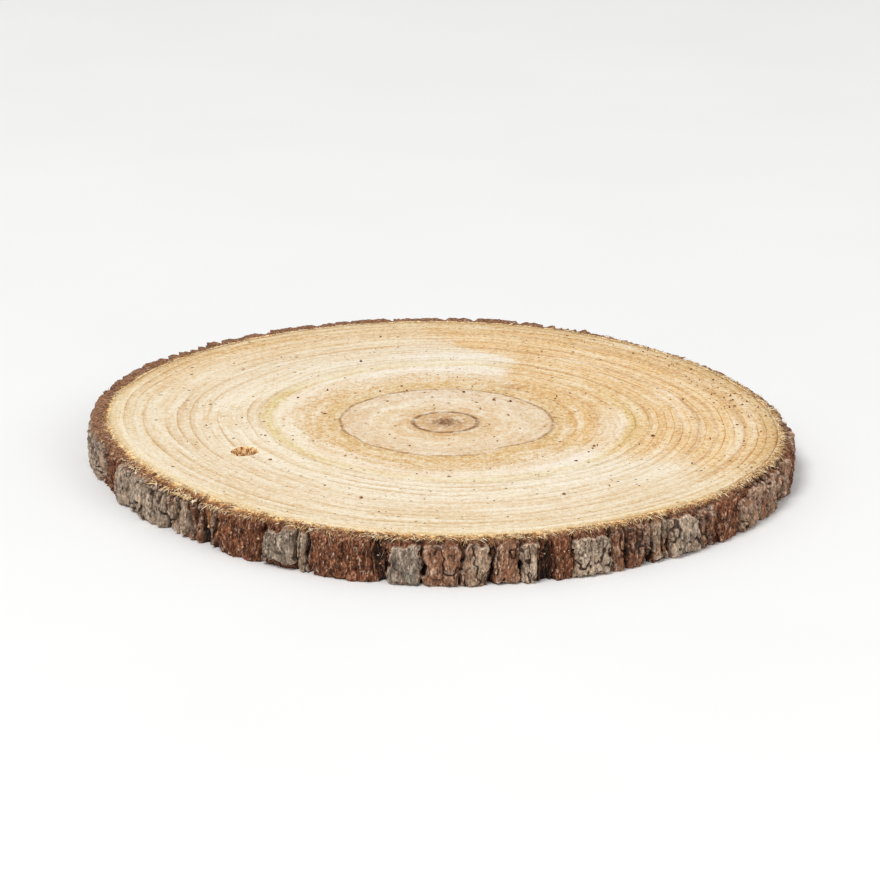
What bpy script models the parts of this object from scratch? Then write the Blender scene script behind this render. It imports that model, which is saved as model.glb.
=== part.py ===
"""Wood slice: one thin cross-cut through a small trunk, with its bark on, lying flat.

Metres, +Z up. The slice stands on z = 0, and the origin is the middle of its footprint.
It is a single grown piece, so the model is one closed solid: two parallel sawn faces,
a scaly bark wall between them, and a small torn pit in the upper face.
"""

import math
import random

import bmesh
import bpy

# Driving dimensions
THICKNESS = 0.0088  # between the two sawn faces
WOOD_RADIUS = 0.0647  # mean distance from the pith to the bark
BARK_DEPTH = 0.0026  # bark under the plates, measured outward from the wood
BARK_LEAN = 0.12  # share by which the bark is thicker on its thick side
BARK_THICK_SIDE = math.radians(150.0)

# How the outline departs from a circle round the pith: (lobes, share of the radius, direction
# of a crest in degrees). One lobe sets the pith off centre, two make the slice oval.
OUTLINE_LOBES = (
    (1, 0.0375, 102.0),
    (2, 0.0340, 126.5),
    (3, 0.0045, 32.0),
    (4, 0.0110, 79.0),
)

# Bark plates
PLATE_WIDTH = (0.0065, 0.0125)  # narrowest and widest, along the outline
PLATE_PROUD = (0.0007, 0.0014)  # lowest and highest, above the bark under them
PLATE_SHOULDER = 0.12  # share of a plate's width where its rounded side ends
PLATE_BODY = (PLATE_SHOULDER, 0.37, 0.63, 1.0 - PLATE_SHOULDER)
PLATE_CROWN = 0.2  # share of its height by which a plate's middle stands over its sides
FISSURE_DEPTH = 0.0004  # below the bark under the plates
PLATE_SEED = 7

# The bark wall, as (height as a share of the thickness, share of a plate's relief there,
# how far the wall stands back). The saw has broken the plates' upper edges most.
WALL_LEVELS = (
    (0.00, 0.35, 0.0003),
    (0.09, 0.90, 0.0),
    (0.50, 1.00, 0.0),
    (0.85, 0.85, 0.0),
    (1.00, 0.10, 0.0002),
)

# The torn pit in the upper face, placed from the pith
PIT_RADIUS = 0.0029
PIT_DEPTH = 0.0013
PIT_FROM_PITH = (-0.0380, -0.0175)
PIT_AROUND = 20
PIT_UP = 40

CREASE_ANGLE = math.radians(40.0)  # edges sharper than this stay crisp when shaded

SAWN_WOOD = ("sawn_wood", (0.84, 0.67, 0.45, 1.0), 0.80)
BARK = ("bark", (0.21, 0.12, 0.08, 1.0), 0.95)


def clear_scene():
    """Takes every object out of the scene."""
    for thing in list(bpy.data.objects):
        bpy.data.objects.remove(thing, do_unlink=True)


def material(name, colour, roughness):
    """A plain Principled material."""
    made = bpy.data.materials.new(name)
    made.use_nodes = True
    shader = made.node_tree.nodes["Principled BSDF"]
    shader.inputs["Base Color"].default_value = colour
    shader.inputs["Roughness"].default_value = roughness
    shader.inputs["Metallic"].default_value = 0.0
    return made


def wood_edge(angle):
    """Distance from the pith to the edge of the wood: a circle with a few lobes added."""
    lobes = sum(
        share * math.cos(count * (angle - math.radians(crest)))
        for count, share, crest in OUTLINE_LOBES
    )
    return WOOD_RADIUS * (1.0 + lobes)


def bark_depth(angle):
    """Thickness of the bark under the plates, greatest on its thick side."""
    return BARK_DEPTH * (1.0 + BARK_LEAN * math.cos(angle - BARK_THICK_SIDE))


def plate_columns():
    """The bark wall's vertical lines, as (angle, relief) pairs going round once.

    Plates of uneven width follow each other round the outline. Each begins at the floor
    of a fissure and then has four lines across its rounded, raised body.
    """
    dice = random.Random(PLATE_SEED)
    around = 2.0 * math.pi * (WOOD_RADIUS + BARK_DEPTH)
    widths = []
    while sum(widths) < around:
        widths.append(dice.uniform(*PLATE_WIDTH))
    to_angle = 2.0 * math.pi / sum(widths)
    columns = []
    start = 0.0
    for width in widths:
        proud = dice.uniform(*PLATE_PROUD)
        columns.append((start * to_angle, -FISSURE_DEPTH))
        for share in PLATE_BODY:
            rise = 1.0 - PLATE_CROWN * (2.0 * share - 1.0) ** 2
            columns.append(((start + share * width) * to_angle, proud * rise))
        start += width
    return columns


def outline_centre(columns):
    """The middle of the whole slice's footprint, measured from the pith."""
    reach = [
        (wood_edge(angle) + bark_depth(angle) + relief, angle)
        for angle, relief in columns
    ]
    xs = [distance * math.cos(angle) for distance, angle in reach]
    ys = [distance * math.sin(angle) for distance, angle in reach]
    return (min(xs) + max(xs)) / 2.0, (min(ys) + max(ys)) / 2.0


def point_at(pith, distance, angle, height):
    """A point given by its distance and direction from the pith."""
    return (
        pith[0] + distance * math.cos(angle),
        pith[1] + distance * math.sin(angle),
        height,
    )


def edge_loop(build, pith, columns, height, reach):
    """One closed loop of points at a height. reach gives each one's distance from the pith."""
    return [
        build.verts.new(point_at(pith, reach(angle, relief), angle, height))
        for angle, relief in columns
    ]


def slice_mesh(pith, columns):
    """The slice before its pit is cut: wood faces, sawn bark rings and the bark wall.

    Closed loops are stacked from the wood's lower edge, out to the bark, up the bark wall
    and back in to the wood's upper edge. Quads join each loop to the next.
    """

    def to_wood(angle, relief):
        return wood_edge(angle)

    build = bmesh.new()
    loops = [edge_loop(build, pith, columns, 0.0, to_wood)]
    for height, share, back in WALL_LEVELS:

        def to_wall(angle, relief, share=share, back=back):
            return wood_edge(angle) + bark_depth(angle) + relief * share - back

        loops.append(edge_loop(build, pith, columns, height * THICKNESS, to_wall))
    loops.append(edge_loop(build, pith, columns, THICKNESS, to_wood))
    count = len(columns)
    for lower, upper in zip(loops, loops[1:]):
        for i in range(count):
            j = (i + 1) % count
            face = build.faces.new((lower[i], lower[j], upper[j], upper[i]))
            face.material_index = 1
            face.smooth = True
    build.faces.new(list(reversed(loops[0])))
    build.faces.new(loops[-1])
    bmesh.ops.recalc_face_normals(build, faces=build.faces)
    mesh = bpy.data.meshes.new("wood_slice")
    build.to_mesh(mesh)
    build.free()
    mesh.set_sharp_from_angle(angle=CREASE_ANGLE)
    return mesh


def pit_cutter(pith):
    """A ball whose lowest cap is the pit: its radius follows from the pit's width and depth."""
    radius = (PIT_RADIUS**2 + PIT_DEPTH**2) / (2.0 * PIT_DEPTH)
    build = bmesh.new()
    bmesh.ops.create_uvsphere(
        build, u_segments=PIT_AROUND, v_segments=PIT_UP, radius=radius
    )
    mesh = bpy.data.meshes.new("pit_cutter")
    build.to_mesh(mesh)
    build.free()
    cutter = bpy.data.objects.new("pit_cutter", mesh)
    bpy.context.scene.collection.objects.link(cutter)
    cutter.location = (
        pith[0] + PIT_FROM_PITH[0],
        pith[1] + PIT_FROM_PITH[1],
        THICKNESS - PIT_DEPTH + radius,
    )
    cutter.hide_render = True
    cutter.display_type = "WIRE"
    return cutter


def build_slice():
    """Puts the slice in the scene, with its pit cut by a live Boolean."""
    columns = plate_columns()
    centre = outline_centre(columns)
    pith = (-centre[0], -centre[1])
    wood_slice = bpy.data.objects.new("wood_slice", slice_mesh(pith, columns))
    bpy.context.scene.collection.objects.link(wood_slice)
    wood_slice.data.materials.append(material(*SAWN_WOOD))
    wood_slice.data.materials.append(material(*BARK))
    cut = wood_slice.modifiers.new("torn_pit", "BOOLEAN")
    cut.operation = "DIFFERENCE"
    cut.solver = "EXACT"
    cut.object = pit_cutter(pith)
    return wood_slice


clear_scene()
build_slice()
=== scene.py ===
"""A thin cross-cut of a small trunk, lying flat with its bark on.

Everything is worked out in millimetres round the pith and put into the meshes in metres.
Angles run anticlockwise from +X, seen from above, and -Y is the front.
"""

import math

import bpy
import numpy as np
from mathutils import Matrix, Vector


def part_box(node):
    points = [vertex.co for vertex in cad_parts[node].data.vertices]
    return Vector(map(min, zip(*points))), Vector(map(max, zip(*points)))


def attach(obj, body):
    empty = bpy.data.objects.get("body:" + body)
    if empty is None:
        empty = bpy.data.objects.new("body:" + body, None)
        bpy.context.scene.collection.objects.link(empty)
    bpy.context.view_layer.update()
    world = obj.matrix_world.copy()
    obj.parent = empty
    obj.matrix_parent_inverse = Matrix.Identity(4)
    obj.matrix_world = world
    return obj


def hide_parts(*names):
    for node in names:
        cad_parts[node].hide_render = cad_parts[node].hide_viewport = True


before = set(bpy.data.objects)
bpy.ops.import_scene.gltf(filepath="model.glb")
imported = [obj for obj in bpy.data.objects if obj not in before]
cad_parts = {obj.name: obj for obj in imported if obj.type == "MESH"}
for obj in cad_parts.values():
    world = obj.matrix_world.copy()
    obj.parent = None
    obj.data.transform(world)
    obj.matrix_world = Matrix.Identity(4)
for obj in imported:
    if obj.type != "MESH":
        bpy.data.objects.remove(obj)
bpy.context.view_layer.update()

MM = 0.001
SLICE = "wood_slice"
BODY = "root"
BAKE_MAP = "OFBake"
LOW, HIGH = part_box(SLICE)
TOP = HIGH.z / MM
MIDDLE = TOP / 2.0

# Outline of the wood: a circle with lobes (count, share of the radius, crest in degrees)
WOOD_RADIUS = 64.7
OUTLINE_LOBES = ((1, 0.0375, 102.0), (2, 0.0340, 126.5), (3, 0.0045, 32.0), (4, 0.0110, 79.0))
BARK_DEPTH = 2.6
BARK_LEAN = 0.12
BARK_THICK_SIDE = math.radians(150.0)
MEAN_PLATE = 1.0
ROUND_LENGTH = 2.0 * math.pi * 69.0
PER_DEGREE = ROUND_LENGTH / 360.0

# How the rings drift from round at the pith to the outline at the bark
DRIFT_AT = (0.0, 0.12, 0.32, 0.59, 0.73, 0.86, 1.0)
DRIFT_X = (0.0, 0.0, 0.012, 0.055, 0.016, 0.006, 0.0)
DRIFT_Y = (0.0, 0.0, 0.000, 0.040, -0.028, -0.012, 0.0)
LOBES_GROW = (0.0, 0.0, 0.45, 0.75, 0.88, 0.95, 1.0)

# Growth rings, as mean distance from the pith
RINGS = (
    0.0, 6.4, 10.8, 15.6, 20.6, 25.2, 29.4, 33.0, 35.4, 37.9, 40.0, 41.8, 43.6, 45.3,
    47.0, 48.6, 50.2, 52.3, 54.4, 56.1, 58.7, 60.6, 62.3, 64.7,
)

# How many fibres, crumbs and bits of dust are strewn, before the misplaced ones are left out
EDGE_FIBRES, PIT_FIBRES, BARK_FIBRES, CRUMBS = 9500, 70, 9000, 3000
DUST_OVER_ALL, DUST_BY_PITH, DUST_BY_EDGE = 120, 45, 150

# Grids, as (columns, rows) or (columns, rows of the brow, of the wall and of the foot)
TOP_GRID = (720, 126)
UNDERSIDE_GRID = (620, 92)
INNER_BARK_GRID = (2200, 16)
BARK_GRID = (1301, 12, 50, 6)
NOISE_ROWS = 251

# The torn pit, from the pith: place, half widths and depth
PIT_AT = (-38.0, -17.5)
PIT_HALF = (2.65, 3.1)
PIT_DEPTH = 1.3


# ---------------------------------------------------------------- shapes shared by the pieces


def step(low, high, value):
    """Smooth rise from 0 at low to 1 at high."""
    share = np.clip((value - low) / (high - low), 0.0, 1.0)
    return share * share * (3.0 - 2.0 * share)


def bell(value, middle, width):
    """Bell curve, 1 at its middle."""
    return np.exp(-(((value - middle) / width) ** 2))


def half_turn(angle):
    """The same direction, from minus half a turn to plus half a turn."""
    return (angle + math.pi) % (2.0 * math.pi) - math.pi


def toward(angle, degrees, width):
    """Bell curve round a direction, 1 in it."""
    return bell(half_turn(angle), math.radians(degrees), width)


def cloud(across, up, seed, around=509):
    """Soft noise from -1 to 1.

    Random heights stand on the whole numbers of across and up, with a smooth curve
    between them. It repeats after `around` steps across.
    """
    heights = np.random.default_rng(seed).uniform(-1.0, 1.0, (around, NOISE_ROWS))
    left = np.floor(across).astype(int)
    low = np.floor(up).astype(int)
    f = across - left
    g = up - low
    f = f * f * f * (f * (6.0 * f - 15.0) + 10.0)
    g = g * g * g * (g * (6.0 * g - 15.0) + 10.0)
    i, j = left % around, (left + 1) % around
    k, m = low % NOISE_ROWS, (low + 1) % NOISE_ROWS
    lower = heights[i, k] * (1.0 - f) + heights[j, k] * f
    upper = heights[i, m] * (1.0 - f) + heights[j, m] * f
    return lower * (1.0 - g) + upper * g


def bark_cloud(angle, height, wide, tall, seed):
    """Soft noise on the bark wall, closed round the slice, with lumps of a width and height."""
    around = max(3, int(round(ROUND_LENGTH / wide)))
    return cloud(angle / (2.0 * math.pi) * around, height / tall + 40.0, seed, around)


def rough(angle, height, wide, tall, seed):
    """Three sizes of soft noise on the bark wall, each half as wide and high as the one before."""
    return (
        bark_cloud(angle, height, wide, tall, seed) * 0.57
        + bark_cloud(angle, height, wide * 0.5, tall * 0.5, seed + 1) * 0.29
        + bark_cloud(angle, height, wide * 0.25, tall * 0.25, seed + 2) * 0.14
    )


def lobes(angle):
    """Share by which the outline of the wood departs from a circle."""
    return sum(
        share * np.cos(count * (angle - math.radians(crest)))
        for count, share, crest in OUTLINE_LOBES
    )


def wood_edge(angle):
    """Distance from the pith to the edge of the wood, with a fine waver along it."""
    waver = bark_cloud(angle, 0.0, 9.0, 1.0, 11) * 0.16
    waver = waver + bark_cloud(angle, 0.0, 2.4, 1.0, 12) * 0.07
    return WOOD_RADIUS * (1.0 + lobes(angle)) + waver


def bark_depth(angle):
    """Thickness of the bark under its plates."""
    return BARK_DEPTH * (1.0 + BARK_LEAN * np.cos(angle - BARK_THICK_SIDE))


def find_pith():
    """The pith's place: the outline's own middle is put on the middle of the CAD part."""
    angle = np.linspace(-math.pi, math.pi, 1441)
    reach = WOOD_RADIUS * (1.0 + lobes(angle)) + bark_depth(angle) + MEAN_PLATE
    x, y = reach * np.cos(angle), reach * np.sin(angle)
    return (
        (LOW.x + HIGH.x) / 2.0 / MM - (x.min() + x.max()) / 2.0,
        (LOW.y + HIGH.y) / 2.0 / MM - (y.min() + y.max()) / 2.0,
    )


PITH = find_pith()


def crumbled(angle):
    """How far the saw has broken the bark's upper edge down, from 0 to 1.

    It is broken all along the front and the right, and nearly whole behind.
    """
    turn = np.degrees(angle + math.pi) % 360.0 - 180.0
    return np.interp(
        turn,
        (-180.0, -168.0, -150.0, 20.0, 50.0, 75.0, 150.0, 180.0),
        (0.35, 0.55, 1.0, 1.0, 0.75, 0.12, 0.12, 0.35),
    )


def ragged_side(angle):
    """Where the inner bark is torn widest, at the front left, from 0 to 1."""
    return toward(angle, -142.0, 0.46)


def ring_reach(growth, angle):
    """Distance from the pith, in one direction, of the wood grown at one time.

    The growth is the ring's mean radius. The ring is round near the pith, drifts to one
    side at half size, and takes the outline's lobes on its way out. One inner ring has
    a dent.
    """
    share = growth / WOOD_RADIUS
    drift = np.interp(share, DRIFT_AT, DRIFT_X) * np.cos(angle)
    drift = drift + np.interp(share, DRIFT_AT, DRIFT_Y) * np.sin(angle)
    shape = drift + lobes(angle) * np.interp(share, DRIFT_AT, LOBES_GROW)
    turned = half_turn(angle - math.radians(-53.0))
    dent = 2.1 * step(-0.26, -0.06, turned) * (1.0 - step(-0.04, 0.42, turned))
    dent = dent * bell(growth, 20.6, 3.6)
    waver = bark_cloud(angle, growth, 14.0, 6.0, 21) * 0.35 * step(4.0, 20.0, growth)
    waver = waver * step(WOOD_RADIUS, WOOD_RADIUS - 4.0, growth)
    edge = (wood_edge(angle) - WOOD_RADIUS * (1.0 + lobes(angle))) * step(
        WOOD_RADIUS - 6.0, WOOD_RADIUS, growth
    )
    return growth * (1.0 + shape) - dent + waver + edge


def from_pith(reach, angle, height):
    """Points given by their distance and direction from the pith, as x, y, z."""
    return np.stack(
        np.broadcast_arrays(
            PITH[0] + reach * np.cos(angle), PITH[1] + reach * np.sin(angle), height
        ),
        axis=-1,
    )


# ---------------------------------------------------------------- putting pieces into the scene


def make_piece(name, points, faces, maps, finish, numbers, stands_in=True):
    """Puts one mesh into the scene.

    points is (n, 3) in millimetres, faces a list of (m, k) corner numbers, maps the
    matching (m, k, 2) bake map places, and numbers the per-point values its finish reads.
    """
    mesh = bpy.data.meshes.new(name)
    corners = np.concatenate([part.ravel() for part in faces])
    sizes = np.concatenate([np.full(len(part), part.shape[1]) for part in faces])
    starts = np.concatenate([[0], np.cumsum(sizes)[:-1]])
    mesh.vertices.add(len(points))
    mesh.vertices.foreach_set("co", (points * MM).ravel().astype(np.float32))
    mesh.loops.add(len(corners))
    mesh.loops.foreach_set("vertex_index", corners.astype(np.int32))
    mesh.polygons.add(len(sizes))
    mesh.polygons.foreach_set("loop_start", starts.astype(np.int32))
    mesh.update(calc_edges=True)
    mesh.polygons.foreach_set("use_smooth", np.ones(len(sizes), bool))
    layer = mesh.uv_layers.new(name=BAKE_MAP)
    places = np.concatenate([part.reshape(-1, 2) for part in maps])
    layer.uv.foreach_set("vector", places.ravel().astype(np.float32))
    for label, values in numbers.items():
        values = np.broadcast_to(values, (len(points),))
        made = mesh.attributes.new(label, "FLOAT", "POINT")
        made.data.foreach_set("value", np.ascontiguousarray(values, dtype=np.float32))
    mesh.validate()
    mesh.materials.append(finish)
    piece = bpy.data.objects.new(name, mesh)
    bpy.context.scene.collection.objects.link(piece)
    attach(piece, BODY)
    if stands_in:
        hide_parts(SLICE)
    return piece


def quads_between(rows, columns, closed):
    """Corner numbers of the quads of a grid whose points are stored row by row.

    Returns the quads, with the row and column of each one's first corner.
    """
    across = columns if closed else columns - 1
    row, column = np.meshgrid(np.arange(rows - 1), np.arange(across), indexing="ij")
    row, column = row.ravel(), column.ravel()
    beside = (column + 1) % columns
    quads = np.stack(
        [
            row * columns + column,
            (row + 1) * columns + column,
            (row + 1) * columns + beside,
            row * columns + beside,
        ],
        axis=1,
    )
    return quads, row, column


def spread(start, end, count, weight):
    """Places from start to end that lie closer together where the weight is greater."""
    fine = np.linspace(start, end, 4001)
    total = np.concatenate([[0.0], np.cumsum(weight((fine[1:] + fine[:-1]) / 2.0))])
    return np.interp(np.linspace(0.0, total[-1], count), total, fine)


# ---------------------------------------------------------------- sawn wood


def pit_fall(x, y):
    """Depth of the torn pit at a place measured from the pith, and how torn it is from 0 to 1.

    An oval bowl with steep, fluted sides: the distance out, as a share of the oval,
    is shaken round its edge, and the floor keeps the stumps of broken fibres.
    """
    dx, dy = x - PIT_AT[0], y - PIT_AT[1]
    turn = np.arctan2(dy, dx)
    out = np.hypot(dx / PIT_HALF[0], dy / PIT_HALF[1])
    flutes = cloud(turn / (2.0 * math.pi) * 46.0 + 92.0, out * 1.2, 31, 46)
    lumps = cloud(turn / (2.0 * math.pi) * 9.0 + 18.0, out * 0.8, 32, 9)
    out = out * (1.0 + 0.10 * flutes + 0.09 * lumps)
    stumps = cloud(dx / 0.42 + 60.0, dy / 0.55 + 60.0, 33) * 0.30
    bowl = 1.0 - step(0.62, 1.0, out)
    depth = PIT_DEPTH * bowl * (0.82 + stumps)
    lip = -0.07 * bell(out, 1.07, 0.10)
    return depth + lip, 1.0 - step(0.90, 1.10, out)


def sawn_relief(growth, angle, x, y, seed):
    """Small hollows and rises of a sawn face: soft rings, broad waves and a worn outer edge."""
    phase = np.interp(growth, RINGS, np.arange(len(RINGS)))
    rings = 0.012 * np.cos(2.0 * math.pi * phase) * step(20.0, 34.0, growth)
    waves = cloud(x / 7.0 + 60.0, y / 7.0 + 60.0, seed) * 0.014
    worn = bark_cloud(angle, growth, 1.1, 1.0, seed + 1) * 0.5 + 0.5
    edge = step(WOOD_RADIUS - 0.7, WOOD_RADIUS, growth) * (0.05 + 0.14 * worn)
    return rings + waves - edge


def warm_side(growth, angle):
    """Share of golden colour: one side of the slice and a patch behind, from 0 to 1.

    The side's two borders are straight out from the pith, bent by soft noise, and its
    farther border opens out towards the bark.
    """
    turn = half_turn(angle)
    bend = cloud(growth / 5.0 + 20.0, turn * 2.0 + 20.0, 41) * 0.07
    near = math.radians(-27.0) - 0.16 * step(45.0, 60.0, growth)
    far = np.interp(growth, (24.0, 30.0, 41.0, 50.0, 66.0), (0.95, 1.12, 1.22, 1.48, 1.68))
    side = step(near - 0.16, near + 0.14, turn + bend) * (
        1.0 - step(far - 0.05, far + 0.06, turn + bend)
    )
    side = side * step(21.0, 27.0, growth)
    side = side * (1.0 - 0.85 * bell(growth, 31.6, 2.9) * toward(angle, -6.0, 0.34))
    patch = toward(angle, 137.0, 0.42) * step(54.0, 61.0, growth) * 0.85
    streak = toward(angle, 100.0, 0.55) * step(47.0, 58.0, growth) * 0.45
    return np.clip(side + patch + streak * (1.0 - side), 0.0, 1.0)


def cool_side_and_sheen(growth, angle):
    """Share of paler, greyer colour: behind the pith, in a patch to the front right, and a faint
    painted sheen towards the front.
    """
    behind = toward(angle, 92.0, 0.72) * step(7.0, 12.0, growth)
    behind = behind * (1.0 - step(40.0, 52.0, growth))
    patch = toward(angle, -36.0, 0.55) * bell(growth, 33.5, 4.5)
    # painted sheen: a faint pale patch towards the front
    sheen = toward(angle, -52.0, 1.2) * bell(growth, 41.0, 5.0) * 0.5
    return np.clip(behind + patch + sheen, 0.0, 1.0)


def olive_streak(growth, angle):
    """Share of yellow-green in the band where the heart of the wood ends, on two sides."""
    turn = half_turn(angle)
    right = bell(growth, 34.9, 0.75) * bell(turn, 0.0, 0.50)
    left = bell(growth, 35.9, 0.95) * bell(np.abs(turn), math.radians(158.0), 0.42)
    return np.clip(right + left, 0.0, 1.0)


def make_slab(name, upper, size, finish):
    """Half the thickness of the wood as one closed solid, with its sawn face up or down.

    The face is a grid of growth rings and directions, closed at the pith. A short wall
    follows the edge of the wood, and a plain fan closes the side that is never seen.
    """
    columns, rows = size
    pit_turn = math.atan2(PIT_AT[1], PIT_AT[0])
    pit_out = math.hypot(*PIT_AT)
    extra = 3.0 if upper else 0.0

    def by_angle(angle):
        """Directions lie closer together at the pit."""
        return 1.0 + extra * bell(angle, pit_turn, 0.085)

    def by_growth(growth):
        """Rings lie closer together at the pit and near the pith."""
        return 1.0 + 1.7 * extra * bell(growth, pit_out, 3.6) + 0.8 * bell(growth, 3.0, 6.0)

    around = spread(-math.pi, math.pi, columns + 1, by_angle)[:-1]
    out = spread(0.0, WOOD_RADIUS, rows + 1, by_growth)[1:]
    growth, angle = np.meshgrid(out, around, indexing="ij")
    reach = ring_reach(growth, angle)
    x, y = reach * np.cos(angle), reach * np.sin(angle)
    sign = 1.0 if upper else -1.0
    level = TOP if upper else 0.0
    relief = sawn_relief(growth, angle, x, y, 51 if upper else 61)
    relief = np.minimum(relief, 0.03) if upper else 0.7 * relief - 0.035
    torn = np.zeros_like(relief)
    if upper:
        fall, torn = pit_fall(x, y)
        relief = relief - fall
    face = from_pith(reach, angle, level + sign * relief)
    edge = reach[-1]
    wall = from_pith(edge, around, np.full_like(edge, level - sign * 0.6))
    inner = from_pith(edge, around, np.full_like(edge, MIDDLE))
    grid = np.concatenate([face, wall[None], inner[None]]).reshape(-1, 3)
    poles = from_pith(np.zeros(2), np.zeros(2), np.array([level, MIDDLE]))
    points = np.concatenate([grid, poles])
    count = rows + 2
    quads, row, _ = quads_between(count, columns, True)
    index = np.arange(columns)
    beside = (index + 1) % columns
    cap = np.stack([np.full(columns, len(grid)), index, beside], axis=1)
    base = (count - 1) * columns
    foot = np.stack([np.full(columns, len(grid) + 1), base + beside, base + index], axis=1)

    def on_face(numbers):
        """Bake map of the sawn face: seen from straight above, filling the square."""
        return 0.5 + (points[numbers][..., :2] - PITH) / (2.0 * edge.max() + 1.2)

    def hidden(numbers, out_share):
        """Bake map of the unseen sides: a small disc in a free corner of the square."""
        away = points[numbers][..., :2] - PITH
        size = np.hypot(away[..., 0], away[..., 1])
        away = away / np.maximum(size, 1e-6)[..., None]
        return 0.078 + away * (out_share * 0.07)[..., None]

    seen = row < rows - 1
    walls = quads[~seen]
    steps = row[~seen, None] - (rows - 1) + np.array([0, 1, 1, 0])
    shares = 1.0 - steps * 0.12
    foot_shares = np.broadcast_to(np.array([0.0, 0.76, 0.76]), foot.shape)
    faces = [quads[seen], cap, walls, foot]
    maps = [on_face(quads[seen]), on_face(cap), hidden(walls, shares), hidden(foot, foot_shares)]
    if not upper:
        faces = [part[:, ::-1] for part in faces]
        maps = [part[:, ::-1] for part in maps]
    ages = np.concatenate([growth.ravel(), np.full(2 * columns, WOOD_RADIUS), [0.0, 0.0]])
    tail = np.zeros(2 * columns + 2)
    on_grid = {
        "warmth": warm_side(growth, angle),
        "coolness_and_sheen": cool_side_and_sheen(growth, angle),
        "olive": olive_streak(growth, angle),
        "torn": torn,
    }
    values = {label: np.concatenate([grid.ravel(), tail]) for label, grid in on_grid.items()}
    values["growth"] = ages
    values["ring_count"] = np.interp(ages, RINGS, np.arange(len(RINGS)))
    return make_piece(name, points, faces, maps, finish, values)


# ---------------------------------------------------------------- bark

# The bark's plates from the left side round the front to the right, as (end in degrees,
# kind, hue, how proud in mm). Hue runs from blue grey 0 through tan 0.5 to red brown 1.
BARK_START = -190.0
FRONT_BARK = (
    (-181.5, "scale", 0.25, 1.1),
    (-171.5, "scale", 0.15, 1.3),
    (-168.5, "slats", 0.50, 0.7),
    (-161.5, "bare", 0.85, 0.4),
    (-147.0, "scale", 0.18, 1.5),
    (-143.6, "scale", 0.22, 1.3),
    (-138.4, "slats", 0.35, 0.7),
    (-131.0, "slats", 0.90, 0.8),
    (-120.9, "bare", 0.95, 0.9),
    (-114.8, "scale", 0.05, 1.4),
    (-112.3, "scale", 0.35, 1.1),
    (-101.2, "bare", 0.80, 1.2),
    (-99.6, "gap", 1.00, 0.0),
    (-93.6, "scale", 0.02, 1.4),
    (-87.6, "scale", 0.72, 1.2),
    (-82.9, "scale", 0.50, 1.3),
    (-78.6, "scale", 0.76, 1.0),
    (-75.4, "scale", 0.30, 1.3),
    (-73.1, "gap", 1.00, 0.0),
    (-70.2, "bare", 0.85, 0.9),
    (-63.6, "scale", 0.24, 1.4),
    (-57.2, "scale", 0.82, 1.0),
    (-52.4, "slats", 0.45, 1.1),
    (-46.0, "scale", 0.22, 1.4),
    (-41.8, "slats", 0.80, 0.9),
    (-36.2, "bare", 0.85, 0.8),
    (-30.4, "scale", 0.55, 1.2),
    (-14.4, "slats", 0.50, 1.1),
    (-8.0, "bare", 0.88, 0.8),
    (-1.5, "scale", 0.60, 1.1),
)
PLATE_SEED = 23

# Deep gaps cut through the plates at the left front, dark from their depth and from painted shade, as
# (degrees, half width in mm)
DEEP_GAPS = ((-156.5, 0.60), (-144.6, 0.75), (-133.4, 0.85), (-61.0, 0.30))


def plate_list():
    """Every plate round the slice, as arrays of numbers by name.

    The front's plates are listed; the rest follow at random with the same kinds.
    Slats are split into narrow plates with deep gaps between them. Lengths are
    millimetres along the bark from where the list starts.
    """
    dice = np.random.default_rng(PLATE_SEED)
    rest = list(FRONT_BARK)
    angle = rest[-1][0]
    finish = BARK_START + 360.0
    while angle < finish - 6.0:
        kind = dice.choice(["scale", "scale", "scale", "slats", "bare", "bare"])
        angle += dice.uniform(4.0, 9.5)
        if angle > finish - 3.5:
            angle = finish
        hue = 0.9 if kind == "bare" else dice.choice([0.1, 0.25, 0.4, 0.55, 0.7, 0.85])
        rest.append((angle, kind, float(hue), float(dice.uniform(0.8, 1.5))))
        if dice.random() < 0.16 and angle < finish - 8.0:
            angle += 1.6
            rest.append((angle, "gap", 1.0, 0.0))
    if rest[-1][0] < finish:
        rest.append((finish, "bare", 0.9, 0.8))
    plates = []
    begin = BARK_START
    for end, kind, hue, proud in rest:
        width = (end - begin) * PER_DEGREE
        start = (begin - BARK_START) * PER_DEGREE
        parts = max(2, int(round(width / 2.1))) if kind == "slats" else 1
        shares = np.cumsum(dice.uniform(0.6, 1.5, parts))
        shares = np.concatenate([[0.0], shares / shares[-1]])
        for low, high in zip(shares, shares[1:]):
            gap = 0.65 if kind == "slats" else 0.35
            deep = {"gap": 0.6, "slats": dice.uniform(0.9, 2.2)}.get(kind, dice.uniform(0.4, 1.5))
            plates.append(
                (
                    start + low * width + gap * 0.5,
                    start + high * width - gap * 0.5,
                    hue + dice.uniform(-0.06, 0.06) * (3.0 if kind == "slats" else 1.0),
                    {"gap": -1.0}.get(kind, proud * dice.uniform(0.9, 1.1)),
                    {"scale": 1.0, "slats": 0.85}.get(kind, 0.0),
                    deep,
                    dice.uniform(1.0, 1.7) if kind != "slats" else dice.uniform(0.6, 1.6),
                    dice.uniform(-0.8, 0.7),
                    dice.uniform(0.6, 1.5) if kind != "slats" else 0.5,
                    dice.uniform(0.0, 1.0),
                )
            )
        begin = end
    names = ("start", "end", "hue", "proud", "cover", "deep", "short", "foot", "corner", "crack")
    return dict(zip(names, np.array(plates).T))


PLATES = plate_list()


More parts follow.
